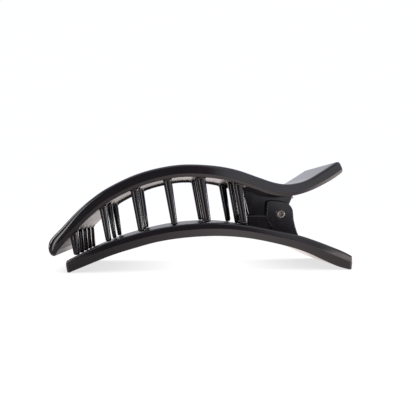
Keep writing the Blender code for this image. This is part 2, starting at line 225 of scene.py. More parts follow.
def platePlaces(plate, samples, lengths):
    # where a plate's rows stand: close together at its ends and at the pocket's two ends
    total, pocket = lengths[-1], plate["pocket"]
    starts = [share * plate["startEnd"][0] for share in plateDetail["endRows"]]
    finishes = [share * plate["finishEnd"][0] for share in plateDetail["endRows"]]
    corners = [share * plate["planCorner"][0] for share in plateDetail["cornerRows"]]
    places = starts + corners
    ends = [total - d for d in reversed(finishes + corners)]
    count = round((ends[0] - places[-1]) / plate["step"])
    places += [places[-1] + (ends[0] - places[-1]) * k / count for k in range(1, count)]
    if pocket:
        for edge in (pocket["start"], pocket["finish"]):
            at = min(range(len(samples)), key=lambda k: abs(samples[k][2] - edge))
            places += [lengths[at] + pocket["ramp"] * share for share in plateDetail["rampRows"]]
    return sorted(places + ends)


def hollowAt(pocket, x):
    # share of the pocket's depth at x
    half = pocket["ramp"] / 2
    share = smoothStep(x, pocket["start"] - half, pocket["start"] + half)
    return share * (1 - smoothStep(x, pocket["finish"] - half, pocket["finish"] + half))


def plateRing(plate, top, bottom, s, total):
    # the closed row of points round a plate at length s
    share = min(endShare(s, plate["startEnd"]), endShare(total - s, plate["finishEnd"]))
    half = min(halfWidthAt(plate, s), halfWidthAt(plate, total - s))
    grown = smoothStep(s, 0, plate["tipLength"])
    parting = plate["tipParting"] + (plate["parting"] - plate["tipParting"]) * grown
    near = smoothStep(s, 0, plate["tipEdgeLength"])
    edge = [p + (q - p) * near for p, q in zip(plate["tipEdge"], plate["topEdge"])]
    hollow = hollowAt(plate["pocket"], bottom.x) if plate["pocket"] else 0.0
    ring = []
    for sign in (-1, 1):
        side = []
        for inset, depth in plateProfile(plate, parting, edge, hollow):
            at = top.lerp(bottom, 0.5 + (depth / plate["thickness"] - 0.5) * share)
            side.append(Vector((at.x, sign * max(half - inset, 0.0), at.z)) * mm)
        ring += side[:-1] if sign < 0 else list(reversed(side))[:-1]
    ring[0].y = 0.0
    return ring


def meshFrom(bm, name):
    mesh = bpy.data.meshes.new(name)
    bm.to_mesh(mesh)
    bm.free()
    return mesh


def buildPlate(name, plate):
    samples, lengths = walkPlate(plate)
    bm = bmesh.new()
    loops = []
    for s in platePlaces(plate, samples, lengths):
        top, bottom = sectionAt(samples, lengths, s)
        ring = plateRing(plate, top, bottom, s, lengths[-1])
        loops.append([bm.verts.new(point) for point in ring])
    for near, far in zip(loops, loops[1:]):
        for k in range(len(near)):
            after = (k + 1) % len(near)
            bm.faces.new((near[k], near[after], far[after], far[k]))
    bm.faces.new(loops[0])
    bm.faces.new(reversed(loops[-1]))
    bmesh.ops.recalc_face_normals(bm, faces=bm.faces)
    mesh = meshFrom(bm, name)
    mesh.shade_smooth()
    for material in (blackPlastic, mattePlastic):
        mesh.materials.append(material)
    for face in mesh.polygons:
        inwards = face.normal.z * plate["innerSide"]
        face.material_index = int(inwards > plateDetail["innerFacing"])
    return addPiece(name, mesh)


def addPiece(name, data):
    piece = bpy.data.objects.new(name, data)
    bpy.context.scene.collection.objects.link(piece)
    return piece


def addNode(tree, kind, settings=None, links=None):
    node = tree.nodes.new(kind)
    for key, value in (settings or {}).items():
        if isinstance(key, str) and hasattr(node, key):
            setattr(node, key, value)
        else:
            node.inputs[key].default_value = value
    for key, source in (links or {}).items():
        tree.links.new(source, node.inputs[key])
    return node


def hexColour(text):
    values = [int(text[k:k + 2], 16) / 255 for k in (1, 3, 5)]
    return [v / 12.92 if v <= 0.04045 else ((v + 0.055) / 1.055) ** 2.4 for v in values] + [1.0]


def bakeModifier(piece, name):
    # the evaluated result as a plain mesh in place of the piece's own
    evaluated = piece.evaluated_get(bpy.context.evaluated_depsgraph_get())
    mesh = bpy.data.meshes.new_from_object(evaluated)
    baked = addPiece(name, mesh)
    old = piece.data
    bpy.data.objects.remove(piece)
    if isinstance(old, bpy.types.Mesh):
        bpy.data.meshes.remove(old)
    return baked


def joinPieces(name, parts):
    bm = bmesh.new()
    materials = []
    for part in parts:
        for material in part.data.materials:
            if material not in materials:
                materials.append(material)
        slots = [materials.index(m) for m in part.data.materials]
        first = len(bm.faces)
        bm.from_mesh(part.data)
        bm.faces.ensure_lookup_table()
        for face in bm.faces[first:]:
            face.material_index = slots[face.material_index]
    mesh = meshFrom(bm, name)
    for material in materials:
        mesh.materials.append(material)
    for part in parts:
        bpy.data.objects.remove(part)
    return addPiece(name, mesh)


patternScale = 1000   # noise of this scale has features about 1 mm wide
toothLean = 9.2       # degrees

# ABS, injection moulded in a polished tool: deep black with a clean gloss,
# broken only by a slight waviness from the melt flow and a few hair-fine scuffs.
# Widths, lengths and depths are in millimetres
plasticLook = {
    "colour": "#100c0f", "dullColour": "#171317",
    "ior": 1.5, "roughness": (0.07, 0.13), "insideRoughness": (0.24, 0.34),
    "flow": 9.0, "flowDepth": 0.012, "flowDetail": 2.0,
    "patch": 3.5, "patchDetail": 4.0, "patchRoughness": 0.6, "patchRange": (0.35, 0.75),
    "scuffWidth": 0.25, "scuffLength": 9.0, "scuffDepth": 0.0004, "scuffTurn": 0.12,
    "toothStreak": 0.22, "toothStreakLength": 8.0, "toothStreakDepth": 0.0012,
    "lineDetail": 3.0,
}
# Spring steel wire, drawn and nickel plated: bright lines along the wire
steelLook = {
    "colour": "#8f8e8c", "dullColour": "#5f5d5b", "stain": 1.2, "stainDetail": 4.0,
    "roughness": (0.2, 0.38), "grain": 0.12, "grainLength": 2.5, "grainDepth": 0.002, "grainDetail": 2.0,
}
# The rivet through the ears is blackened steel with rolled ends: dark, with sharp glints
rivetLook = {
    "colour": "#8f8a86", "dullColour": "#3a3735", "stain": 1.2, "stainDetail": 4.0,
    "roughness": (0.12, 0.3), "grain": 0.5, "grainLength": 0.6, "grainDepth": 0.05, "grainDetail": 2.0,
}


def mouldedPlastic(name, streaks, roughness):
    look = plasticLook
    material = bpy.data.materials.new(name)
    material.use_nodes = True
    tree = material.node_tree
    shader = tree.nodes["Principled BSDF"]
    shader.inputs["IOR"].default_value = look["ior"]
    shader.inputs["Metallic"].default_value = 0.0
    place = addNode(tree, "ShaderNodeTexCoord").outputs["Object"]
    # colour drifts a little along the melt flow
    drift = addNode(tree, "ShaderNodeTexNoise", {
        "Scale": patternScale / look["flow"], "Detail": look["flowDetail"],
    }, {"Vector": place})
    ramp = addNode(tree, "ShaderNodeMix", {"data_type": "RGBA"}, {"Factor": drift.outputs["Fac"]})
    colours = [s for s in ramp.inputs if s.type == "RGBA"]
    colours[0].default_value = hexColour(look["colour"])
    colours[1].default_value = hexColour(look["dullColour"])
    mixed = next(s for s in ramp.outputs if s.type == "RGBA")
    tree.links.new(mixed, shader.inputs["Base Color"])
    # handling wear: the gloss varies in soft patches
    patches = addNode(tree, "ShaderNodeTexNoise", {
        "Scale": patternScale / look["patch"], "Detail": look["patchDetail"],
        "Roughness": look["patchRoughness"],
    }, {"Vector": place})
    gloss = addNode(tree, "ShaderNodeMapRange", {
        "From Min": look["patchRange"][0], "From Max": look["patchRange"][1],
        "To Min": roughness[0], "To Max": roughness[1],
    }, {"Value": patches.outputs["Fac"]})
    tree.links.new(gloss.outputs["Result"], shader.inputs["Roughness"])
    # waviness of the moulded skin, then scuffs or tooth streaks over it
    wave = addNode(tree, "ShaderNodeBump", {"Strength": 1.0, "Distance": look["flowDepth"] * mm}, {
        "Height": drift.outputs["Fac"],
    })
    if streaks:
        width, length, depth = look["toothStreak"], look["toothStreakLength"], look["toothStreakDepth"]
        scale = (patternScale / width, patternScale / width, patternScale / length)
        turn = (0.0, math.radians(toothLean), 0.0)
    else:
        width, length, depth = look["scuffWidth"], look["scuffLength"], look["scuffDepth"]
        scale = (patternScale / length, patternScale / width, patternScale / width)
        turn = (0.0, 0.0, look["scuffTurn"])
    turned = addNode(tree, "ShaderNodeMapping", {"Rotation": turn}, {"Vector": place})
    stretched = addNode(tree, "ShaderNodeMapping", {"Scale": scale}, {"Vector": turned.outputs["Vector"]})
    lines = addNode(tree, "ShaderNodeTexNoise", {"Scale": 1.0, "Detail": look["lineDetail"]}, {
        "Vector": stretched.outputs["Vector"],
    })
    fine = addNode(tree, "ShaderNodeBump", {"Strength": 1.0, "Distance": depth * mm}, {
        "Height": lines.outputs["Fac"], "Normal": wave.outputs["Normal"],
    })
    tree.links.new(fine.outputs["Normal"], shader.inputs["Normal"])
    return material


def drawnSteel(name, look):
    material = bpy.data.materials.new(name)
    material.use_nodes = True
    tree = material.node_tree
    shader = tree.nodes["Principled BSDF"]
    shader.inputs["Metallic"].default_value = 1.0
    place = addNode(tree, "ShaderNodeTexCoord").outputs["Object"]
    # stains in the plating change both its colour and its gloss
    stains = addNode(tree, "ShaderNodeTexNoise", {
        "Scale": patternScale / look["stain"], "Detail": look["stainDetail"],
    }, {"Vector": place})
    mix = addNode(tree, "ShaderNodeMix", {"data_type": "RGBA"}, {"Factor": stains.outputs["Fac"]})
    colours = [s for s in mix.inputs if s.type == "RGBA"]
    colours[0].default_value = hexColour(look["colour"])
    colours[1].default_value = hexColour(look["dullColour"])
    mixed = next(s for s in mix.outputs if s.type == "RGBA")
    tree.links.new(mixed, shader.inputs["Base Color"])
    gloss = addNode(tree, "ShaderNodeMapRange", {
        "To Min": look["roughness"][0], "To Max": look["roughness"][1],
    }, {"Value": stains.outputs["Fac"]})
    tree.links.new(gloss.outputs["Result"], shader.inputs["Roughness"])
    # grain from the drawing, along the hinge axis
    across, along = patternScale / look["grain"], patternScale / look["grainLength"]
    stretched = addNode(tree, "ShaderNodeMapping", {"Scale": (across, along, across)}, {"Vector": place})
    grain = addNode(tree, "ShaderNodeTexNoise", {"Scale": 1.0, "Detail": look["grainDetail"]}, {
        "Vector": stretched.outputs["Vector"],
    })
    bump = addNode(tree, "ShaderNodeBump", {"Distance": look["grainDepth"] * mm}, {
        "Height": grain.outputs["Fac"],
    })
    tree.links.new(bump.outputs["Normal"], shader.inputs["Normal"])
    return material


blackPlastic = mouldedPlastic("mouldedBlackAbs", False, plasticLook["roughness"])
toothPlastic = mouldedPlastic("mouldedBlackAbsTeeth", True, plasticLook["roughness"])
mattePlastic = mouldedPlastic("mouldedBlackAbsInside", False, plasticLook["insideRoughness"])
wireSteel = drawnSteel("drawnNickelSteel", steelLook)
rivetSteel = drawnSteel("blackenedRivetSteel", rivetLook)

# The two arched plates
upperPiece = buildPlate("upperPlate", upperPlate)
lowerPiece = buildPlate("lowerPlate", lowerPlate)
upperSamples = walkPlate(upperPlate)[0]
lowerSamples = walkPlate(lowerPlate)[0]
print("plates built")

# Teeth: three rows of five, and the front comb. Millimetres and degrees
teeth = {
    "rows": [   # distance across, share of the width, then where each foot stands
        (-17.4, 1.1, (-34.65, -22.95, -10.85, 1.35, 15.0)),
        (-1.0, 0.85, (-34.5, -22.8, -10.8, 1.4, 14.8)),
        (17.4, 1.0, (-34.5, -22.8, -10.8, 1.1, 13.4)),
    ],
    "rowLean": toothLean, "widths": (0.86, 0.93, 1.0, 1.06, 1.12),   # wider towards the hinge
    "combX": -46.0, "combOffset": 17.2, "combCount": 5, "combLean": 7.0, "combWidth": 1.0,
    "tipWidth": 2.15, "rootWidth": 3.0, "depth": 2.8, "tipRound": 0.95, "fillet": 0.55,
    "gap": 0.12, "embed": 0.8,
    "sides": 36, "rings": 40, "squareness": 0.8,   # below 1, the round section turns square
    "shaftHalf": 0.3,   # the tube runs from -0.5 to 0.5, and its shaft this far each way
    "castHeight": 2.0, "castLength": 100.0,   # where the plates' surfaces are looked for
    "merge": 0.01,
}


def toothTree():
    tree = bpy.data.node_groups.new("claw teeth", "GeometryNodeTree")
    tree.interface.new_socket("Geometry", in_out="INPUT", socket_type="NodeSocketGeometry")
    tree.interface.new_socket("Upper Plate", in_out="INPUT", socket_type="NodeSocketObject")
    tree.interface.new_socket("Lower Plate", in_out="INPUT", socket_type="NodeSocketObject")
    for name in ("Tip Width", "Root Width", "Depth", "Tip Round", "Fillet", "Gap", "Embed"):
        tree.interface.new_socket(name, in_out="INPUT", socket_type="NodeSocketFloat")
    tree.interface.new_socket("Material", in_out="INPUT", socket_type="NodeSocketMaterial")
    tree.interface.new_socket("Geometry", in_out="OUTPUT", socket_type="NodeSocketGeometry")
    given = addNode(tree, "NodeGroupInput").outputs
    add, subtract, scale = {"operation": "ADD"}, {"operation": "SUBTRACT"}, {"operation": "SCALE"}
    multiply, multiplyAdd = {"operation": "MULTIPLY"}, {"operation": "MULTIPLY_ADD"}

    # the tooth's own direction, and its foot just above the lower plate
    vector = {"data_type": "FLOAT_VECTOR"}
    lean = addNode(tree, "GeometryNodeInputNamedAttribute", {
        "data_type": "FLOAT", "Name": "lean",
    }).outputs["Attribute"]
    sine = addNode(tree, "ShaderNodeMath", {"operation": "SINE"}, {0: lean}).outputs[0]
    cosine = addNode(tree, "ShaderNodeMath", {"operation": "COSINE"}, {0: lean}).outputs[0]
    back = addNode(tree, "ShaderNodeMath", {"operation": "MULTIPLY", 1: -1.0}, {0: sine}).outputs[0]
    upwards = addNode(tree, "ShaderNodeCombineXYZ", {}, {"X": back, "Z": cosine}).outputs[0]
    lower = addNode(tree, "GeometryNodeObjectInfo", {}, {
        "Object": given["Lower Plate"],
    }).outputs["Geometry"]
    below = addNode(tree, "GeometryNodeRaycast", {
        "Ray Direction": (0, 0, -1), "Ray Length": teeth["castLength"] * mm,
    }, {"Target Geometry": lower})
    gap = addNode(tree, "ShaderNodeCombineXYZ", {}, {"Z": given["Gap"]}).outputs[0]
    stand = addNode(tree, "ShaderNodeVectorMath", add, {
        0: below.outputs["Hit Position"], 1: gap,
    }).outputs[0]
    withFoot = addNode(tree, "GeometryNodeStoreNamedAttribute", {**vector, "Name": "foot"}, {
        "Geometry": given["Geometry"], "Value": stand,
    }).outputs[0]
    withUp = addNode(tree, "GeometryNodeStoreNamedAttribute", {**vector, "Name": "upwards"}, {
        "Geometry": withFoot, "Value": upwards,
    }).outputs[0]

    # one plain tube per tooth, whose points are then put in their places
    tube = addNode(tree, "GeometryNodeMeshCylinder", {
        "Vertices": teeth["sides"], "Side Segments": teeth["rings"], "Radius": 1.0, "Depth": 1.0,
    })
    where = addNode(tree, "GeometryNodeInputPosition").outputs[0]
    marked = addNode(tree, "GeometryNodeStoreNamedAttribute", {**vector, "Name": "local"}, {
        "Geometry": tube.outputs["Mesh"], "Value": where,
    }).outputs[0]
    copies = addNode(tree, "GeometryNodeInstanceOnPoints", {}, {
        "Points": withUp, "Instance": marked,
    }).outputs[0]
    real = addNode(tree, "GeometryNodeRealizeInstances", {}, {"Geometry": copies}).outputs[0]
    local, foot, up = (
        addNode(tree, "GeometryNodeInputNamedAttribute", {**vector, "Name": name}).outputs["Attribute"]
        for name in ("local", "foot", "upwards")
    )
    wide = addNode(tree, "GeometryNodeInputNamedAttribute", {
        "data_type": "FLOAT", "Name": "wide",
    }).outputs["Attribute"]
    across = addNode(tree, "ShaderNodeVectorMath", {"operation": "CROSS_PRODUCT", 0: (0, 1, 0)}, {
        1: up,
    }).outputs[0]

    # squared section: the circle's sides are pushed out to a rounded square
    square = teeth["squareness"]
    size = addNode(tree, "ShaderNodeVectorMath", {"operation": "ABSOLUTE"}, {0: local}).outputs[0]
    squared = addNode(tree, "ShaderNodeVectorMath", {"operation": "POWER", 1: (square, square, 1.0)}, {
        0: size,
    }).outputs[0]
    signs = addNode(tree, "ShaderNodeVectorMath", {"operation": "SIGN"}, {0: local}).outputs[0]
    section = addNode(tree, "ShaderNodeVectorMath", multiply, {0: squared, 1: signs}).outputs[0]
    sides = addNode(tree, "ShaderNodeSeparateXYZ", {}, {0: section}).outputs
    level = addNode(tree, "ShaderNodeSeparateXYZ", {}, {0: local}).outputs["Z"]

    # how far it is to the upper plate, for each line along the tooth
    halfScale = addNode(tree, "ShaderNodeMath", {"operation": "MULTIPLY", 1: 0.5}, {0: wide}).outputs[0]
    halfRoot = addNode(tree, "ShaderNodeMath", multiply, {0: given["Root Width"], 1: halfScale}).outputs[0]
    halfDepth = addNode(tree, "ShaderNodeMath", {"operation": "MULTIPLY", 1: 0.5}, {
        0: given["Depth"],
    }).outputs[0]
    rootX = addNode(tree, "ShaderNodeMath", multiply, {0: sides["X"], 1: halfRoot}).outputs[0]
    rootY = addNode(tree, "ShaderNodeMath", multiply, {0: sides["Y"], 1: halfDepth}).outputs[0]
    rootOff = addNode(tree, "ShaderNodeVectorMath", scale, {0: across, "Scale": rootX}).outputs[0]
    rootSide = addNode(tree, "ShaderNodeCombineXYZ", {}, {"Y": rootY}).outputs[0]
    rootSum = addNode(tree, "ShaderNodeVectorMath", add, {0: rootOff, 1: rootSide}).outputs[0]
    rayStart = addNode(tree, "ShaderNodeVectorMath", add, {0: foot, 1: rootSum}).outputs[0]
    upper = addNode(tree, "GeometryNodeObjectInfo", {}, {
        "Object": given["Upper Plate"],
    }).outputs["Geometry"]
    above = addNode(tree, "GeometryNodeRaycast", {"Ray Length": teeth["castLength"] * mm}, {
        "Target Geometry": upper, "Source Position": rayStart, "Ray Direction": up,
    })
    reach = above.outputs["Hit Distance"]

    # height of each ring: close rings round the tip and through the root fillet
    shaftHalf = teeth["shaftHalf"]
    turn = addNode(tree, "ShaderNodeMapRange", {1: -0.5, 2: -shaftHalf, 3: 0.0, 4: 0.5 * math.pi}, {
        0: level,
    }).outputs[0]
    turnCos = addNode(tree, "ShaderNodeMath", {"operation": "COSINE"}, {0: turn}).outputs[0]
    turnCosClean = addNode(tree, "ShaderNodeMath", {"operation": "MAXIMUM", 1: 0.0}, {
        0: turnCos,
    }).outputs[0]
    tipDown = addNode(tree, "ShaderNodeMath", {"operation": "POWER", 1: square}, {
        0: turnCosClean,
    }).outputs[0]
    tipDrop = addNode(tree, "ShaderNodeMath", multiply, {0: tipDown, 1: given["Tip Round"]}).outputs[0]
    turnSin = addNode(tree, "ShaderNodeMath", {"operation": "SINE"}, {0: turn}).outputs[0]
    tipShare = addNode(tree, "ShaderNodeMath", {"operation": "POWER", 1: square}, {0: turnSin}).outputs[0]
    shaftEnd = addNode(tree, "ShaderNodeMath", subtract, {0: reach, 1: given["Fillet"]}).outputs[0]
    shaft = addNode(tree, "ShaderNodeMapRange", {1: -shaftHalf, 2: shaftHalf}, {
        0: level, 3: given["Tip Round"], 4: shaftEnd,
    }).outputs[0]
    rootLength = addNode(tree, "ShaderNodeMath", add, {0: given["Fillet"], 1: given["Embed"]}).outputs[0]
    root = addNode(tree, "ShaderNodeMapRange", {1: shaftHalf, 2: 0.5, 3: 0.0}, {
        0: level, 4: rootLength,
    }).outputs[0]
    raised = addNode(tree, "ShaderNodeMath", add, {0: shaft, 1: root}).outputs[0]
    height = addNode(tree, "ShaderNodeMath", subtract, {0: raised, 1: tipDrop}).outputs[0]

    # fillet where the tooth runs into the plate
    close = addNode(tree, "ShaderNodeMapRange", {3: 0.0, 4: 1.0}, {
        0: height, 1: shaftEnd, 2: reach,
    }).outputs[0]
    closeSquare = addNode(tree, "ShaderNodeMath", multiply, {0: close, 1: close}).outputs[0]
    rest = addNode(tree, "ShaderNodeMath", {"operation": "SUBTRACT", 0: 1.0}, {1: closeSquare}).outputs[0]
    restRoot = addNode(tree, "ShaderNodeMath", {"operation": "SQRT"}, {0: rest}).outputs[0]
    flareShare = addNode(tree, "ShaderNodeMath", {"operation": "SUBTRACT", 0: 1.0}, {
        1: restRoot,
    }).outputs[0]
    flare = addNode(tree, "ShaderNodeMath", multiply, {0: flareShare, 1: given["Fillet"]}).outputs[0]
    taper = addNode(tree, "ShaderNodeMapRange", {1: 0.0}, {
        0: height, 2: reach, 3: given["Tip Width"], 4: given["Root Width"],
    }).outputs[0]
    halfTaper = addNode(tree, "ShaderNodeMath", multiply, {0: taper, 1: halfScale}).outputs[0]
    widthNow = addNode(tree, "ShaderNodeMath", multiplyAdd, {
        0: halfTaper, 1: tipShare, 2: flare,
    }).outputs[0]
    depthNow = addNode(tree, "ShaderNodeMath", multiplyAdd, {
        0: halfDepth, 1: tipShare, 2: flare,
    }).outputs[0]
    offX = addNode(tree, "ShaderNodeMath", multiply, {0: sides["X"], 1: widthNow}).outputs[0]
    offY = addNode(tree, "ShaderNodeMath", multiply, {0: sides["Y"], 1: depthNow}).outputs[0]
    moveX = addNode(tree, "ShaderNodeVectorMath", scale, {0: across, "Scale": offX}).outputs[0]
    moveY = addNode(tree, "ShaderNodeCombineXYZ", {}, {"Y": offY}).outputs[0]
    moveUp = addNode(tree, "ShaderNodeVectorMath", scale, {0: up, "Scale": height}).outputs[0]
    sumA = addNode(tree, "ShaderNodeVectorMath", add, {0: foot, 1: moveX}).outputs[0]
    sumB = addNode(tree, "ShaderNodeVectorMath", add, {0: sumA, 1: moveY}).outputs[0]
    final = addNode(tree, "ShaderNodeVectorMath", add, {0: sumB, 1: moveUp}).outputs[0]
    shaped = addNode(tree, "GeometryNodeSetPosition", {}, {"Geometry": real, "Position": final}).outputs[0]
    closed = addNode(tree, "GeometryNodeMergeByDistance", {"Distance": teeth["merge"] * mm}, {
        "Geometry": shaped,
    }).outputs[0]
    smooth = addNode(tree, "GeometryNodeSetShadeSmooth", {}, {"Geometry": closed}).outputs[0]
    dressed = addNode(tree, "GeometryNodeSetMaterial", {}, {
        "Geometry": smooth, "Material": given["Material"],
    }).outputs[0]
    addNode(tree, "NodeGroupOutput", {}, {0: dressed})
    return tree


def setInputs(modifier, values):
    for item in modifier.node_group.interface.items_tree:
        if item.item_type == "SOCKET" and item.in_out == "INPUT" and item.name in values:
            modifier[item.identifier] = values[item.name]


def buildTeeth():
    places = []
    for y, share, feet in teeth["rows"]:
        places += [(x, y, teeth["rowLean"], share * width) for x, width in zip(feet, teeth["widths"])]
    for k in range(teeth["combCount"]):
        y = teeth["combOffset"] * (2 * k / (teeth["combCount"] - 1) - 1)
        places.append((teeth["combX"], y, teeth["combLean"], teeth["combWidth"]))
    mesh = bpy.data.meshes.new("toothPlaces")
    points = []   # a little above the lower plate, from where its surface is looked for
    for x, y, lean, width in places:
        points.append((x * mm, y * mm, (edgeHeight(lowerSamples, x, 0) + teeth["castHeight"]) * mm))
    mesh.from_pydata(points, [], [])
    leans = mesh.attributes.new("lean", "FLOAT", "POINT")
    leans.data.foreach_set("value", [math.radians(lean) for x, y, lean, width in places])
    widths = mesh.attributes.new("wide", "FLOAT", "POINT")
    widths.data.foreach_set("value", [width for x, y, lean, width in places])
    piece = addPiece("toothPlaces", mesh)
    modifier = piece.modifiers.new("teeth", "NODES")
    modifier.node_group = toothTree()
    setInputs(modifier, {
        "Upper Plate": upperPiece, "Lower Plate": lowerPiece, "Material": toothPlastic,
        "Tip Width": teeth["tipWidth"] * mm, "Root Width": teeth["rootWidth"] * mm,
        "Depth": teeth["depth"] * mm, "Tip Round": teeth["tipRound"] * mm,
        "Fillet": teeth["fillet"] * mm, "Gap": teeth["gap"] * mm, "Embed": teeth["embed"] * mm,
    })
    bpy.context.view_layer.update()
    return bakeModifier(piece, "teeth")


teethPiece = buildTeeth()
print("teeth built:", len(teethPiece.data.polygons), "faces")

# Hinge ears, seen from the side: the upper pair sits between the lower pair. Points are
# (x, z), and a round is its centre, radius, two angles and steps
hinge = {
    "pinX": 29.8, "pinZ": 20.8, "holeRadius": 1.5, "holeSides": 40,
    "edgeRound": 0.45, "edgeSteps": 4, "sharpAngle": 40,
    "upperOuter": 10.3, "lowerOuter": 13.0, "thickness": 2.4, "webStep": 0.45,
    "earFront": [(14.4, 34.0), (15.0, 32.4), (15.6, 31.0)],
    "earFrontRound": ((18.9, 21.1), 0.9, 192, 268, 8),
    "bossRadius": 3.4, "bossArc": (215, 360, 24),
    "earBack": [(33.6, 23.4), (34.3, 25.2), (35.2, 27.2), (36.4, 30.0)],
    "lugFront": [(26.4, 13.0), (25.6, 16.4), (24.1, 18.9), (24.3, 21.5)],
    "lugFrontRound": ((25.6, 25.2), 1.0, 172, 90, 8),
    "lugTop": [(27.8, 26.15), (29.6, 26.0)],
    "lugRadius": 5.08, "lugArc": (72, 0, 18),
    "lugBack": [(35.0, 19.0), (35.6, 16.3), (36.3, 13.9), (37.6, 11.0)],
    "webFront": [(17.0, 14.5)], "webRound": ((17.6, 19.9), 0.5, 180, 90, 6),
    "webBack": [(26.6, 20.4), (27.6, 12.9)],
}
pinAxis = (hinge["pinX"], hinge["pinZ"])


def arc(centre, radius, start, finish, count):
    angles = [math.radians(start + (finish - start) * k / count) for k in range(count + 1)]
    return [(centre[0] + radius * math.cos(a), centre[1] + radius * math.sin(a)) for a in angles]


def upperEarOutline():
    front = hinge["earFront"] + arc(*hinge["earFrontRound"])
    return front + arc(pinAxis, hinge["bossRadius"], *hinge["bossArc"]) + hinge["earBack"]


def lugOutline():
    # the tall lug of the lower ear, round about the pin, its front edge running down to the plate
    top = arc(*hinge["lugFrontRound"]) + hinge["lugTop"]
    top += arc(pinAxis, hinge["lugRadius"], *hinge["lugArc"])
    return hinge["lugFront"] + top + hinge["lugBack"]


def webOutline():
    # the low web in front of the lug
    return hinge["webFront"] + arc(*hinge["webRound"]) + hinge["webBack"]


def earPlate(name, outline, inner, outer, hole):
    # a flat plate between two distances from the middle, with rounded edges, on both sides
    curve = bpy.data.curves.new(name, "CURVE")
    curve.dimensions = "2D"
    curve.fill_mode = "BOTH"
    curve.bevel_depth = hinge["edgeRound"] * mm
    curve.bevel_resolution = hinge["edgeSteps"]
    curve.offset = -hinge["edgeRound"] * mm
    curve.extrude = (0.5 * (outer - inner) - hinge["edgeRound"]) * mm
    loops = [outline]
    if hole:
        sides = hinge["holeSides"]
        loops.append(arc(pinAxis, hinge["holeRadius"], 360, 360 / sides, sides - 1))
    for loop in loops:
        spline = curve.splines.new("POLY")
        spline.points.add(len(loop) - 1)
        for point, (x, z) in zip(spline.points, loop):
            point.co = (x * mm, z * mm, 0.0, 1.0)
        spline.use_cyclic_u = True
    curve.materials.append(blackPlastic)
    plates = []
    for side in (-1, 1):
        drawn = addPiece(name + "Drawn", curve)
        middle = side * 0.5 * (inner + outer) * mm
        place = Matrix.Translation((0.0, middle, 0.0)) @ Matrix.Rotation(math.radians(90), 4, "X")
        plate = bakeModifier(drawn, name)
        plate.data.transform(place)
        plate.data.shade_smooth()
        plate.data.set_sharp_from_angle(angle=math.radians(hinge["sharpAngle"]))
        plates.append(plate)
    return plates


upperInner = hinge["upperOuter"] - hinge["thickness"]
upperEars = earPlate("upperEar", upperEarOutline(), upperInner, hinge["upperOuter"], True)
lowerInner = hinge["lowerOuter"] - hinge["thickness"]
lugs = earPlate("lug", lugOutline(), lowerInner, hinge["lowerOuter"], True)
webs = earPlate("web", webOutline(), lowerInner, hinge["lowerOuter"] - hinge["webStep"], False)
print("ears built")

upperJaw = joinPieces("upperJaw", [upperPiece, teethPiece] + upperEars)
lowerJaw = joinPieces("lowerJaw", [lowerPiece] + lugs + webs)

# The hinge pin: a tubular rivet whose ends are rolled over. Radii and distances out, in millimetres
pin = {
    "shaft": 1.2, "bore": 0.75, "lip": 1.6, "crown": 0.25, "crownSteps": 12,
    "boreDepth": 0.6, "boreShare": 0.85, "boreRise": 0.15,   # the bore narrows at its foot
    "seat": 0.02, "lipBack": 0.05, "neck": (0.12, 0.4),      # how far in from the ear's face
    "turns": 40, "sharpAngle": 50,
}


def pinProfile():
    # from the foot of one bore over its lip and along the shaft to the other, as (radius, distance)
    face, bore, lip, shaft, seat = hinge["lowerOuter"], pin["bore"], pin["lip"], pin["shaft"], pin["seat"]
    foot = face - pin["boreDepth"]
    profile = [(0.0, foot), (bore * pin["boreShare"], foot), (bore, foot + pin["boreRise"])]
    middle, half = 0.5 * (bore + lip), 0.5 * (lip - bore)
    for k in range(pin["crownSteps"] + 1):
        a = math.pi * k / pin["crownSteps"]
        profile.append((middle - half * math.cos(a), face - seat + (pin["crown"] + seat) * math.sin(a)))
    profile.append((lip, face - pin["lipBack"]))
    profile += [(shaft, face - d) for d in pin["neck"]]
    profile.append((shaft, 0.0))
    return profile + [(r, -y) for r, y in reversed(profile[:-1])]


def buildPin():
    bm = bmesh.new()
    loops = []
    for radius, y in pinProfile():
        count = 1 if radius == 0 else pin["turns"]
        ring = []
        for k in range(count):
            a = 2 * math.pi * k / pin["turns"]
            x, z = hinge["pinX"] + radius * math.cos(a), hinge["pinZ"] + radius * math.sin(a)
            ring.append(bm.verts.new((x * mm, -y * mm, z * mm)))
        loops.append(ring)
    for near, far in zip(loops, loops[1:]):
        for k in range(pin["turns"]):
            after = (k + 1) % pin["turns"]
            if len(near) == 1:
                bm.faces.new((near[0], far[after], far[k]))
            elif len(far) == 1:
                bm.faces.new((near[k], near[after], far[0]))
            else:
                bm.faces.new((near[k], near[after], far[after], far[k]))
    bmesh.ops.recalc_face_normals(bm, faces=bm.faces)
    mesh = meshFrom(bm, "hingePin")
    mesh.shade_smooth()
    mesh.set_sharp_from_angle(angle=math.radians(pin["sharpAngle"]))
    mesh.materials.append(rivetSteel)
    return addPiece("hingePin", mesh)


pinPiece = buildPin()
print("pin built")

# Torsion spring round the pin, with one leg under the upper jaw and one on the lower jaw
spring = {
    "wire": 0.45, "radius": 2.4, "halfLength": 6.8, "turns": 9, "perTurn": 28, "wireSides": 12,
    "legX": 36.3, "seat": 0.35,
    "upperSeats": 1.25, "lowerSeats": 1.15,   # shares of the wire and its seat, off each jaw
}


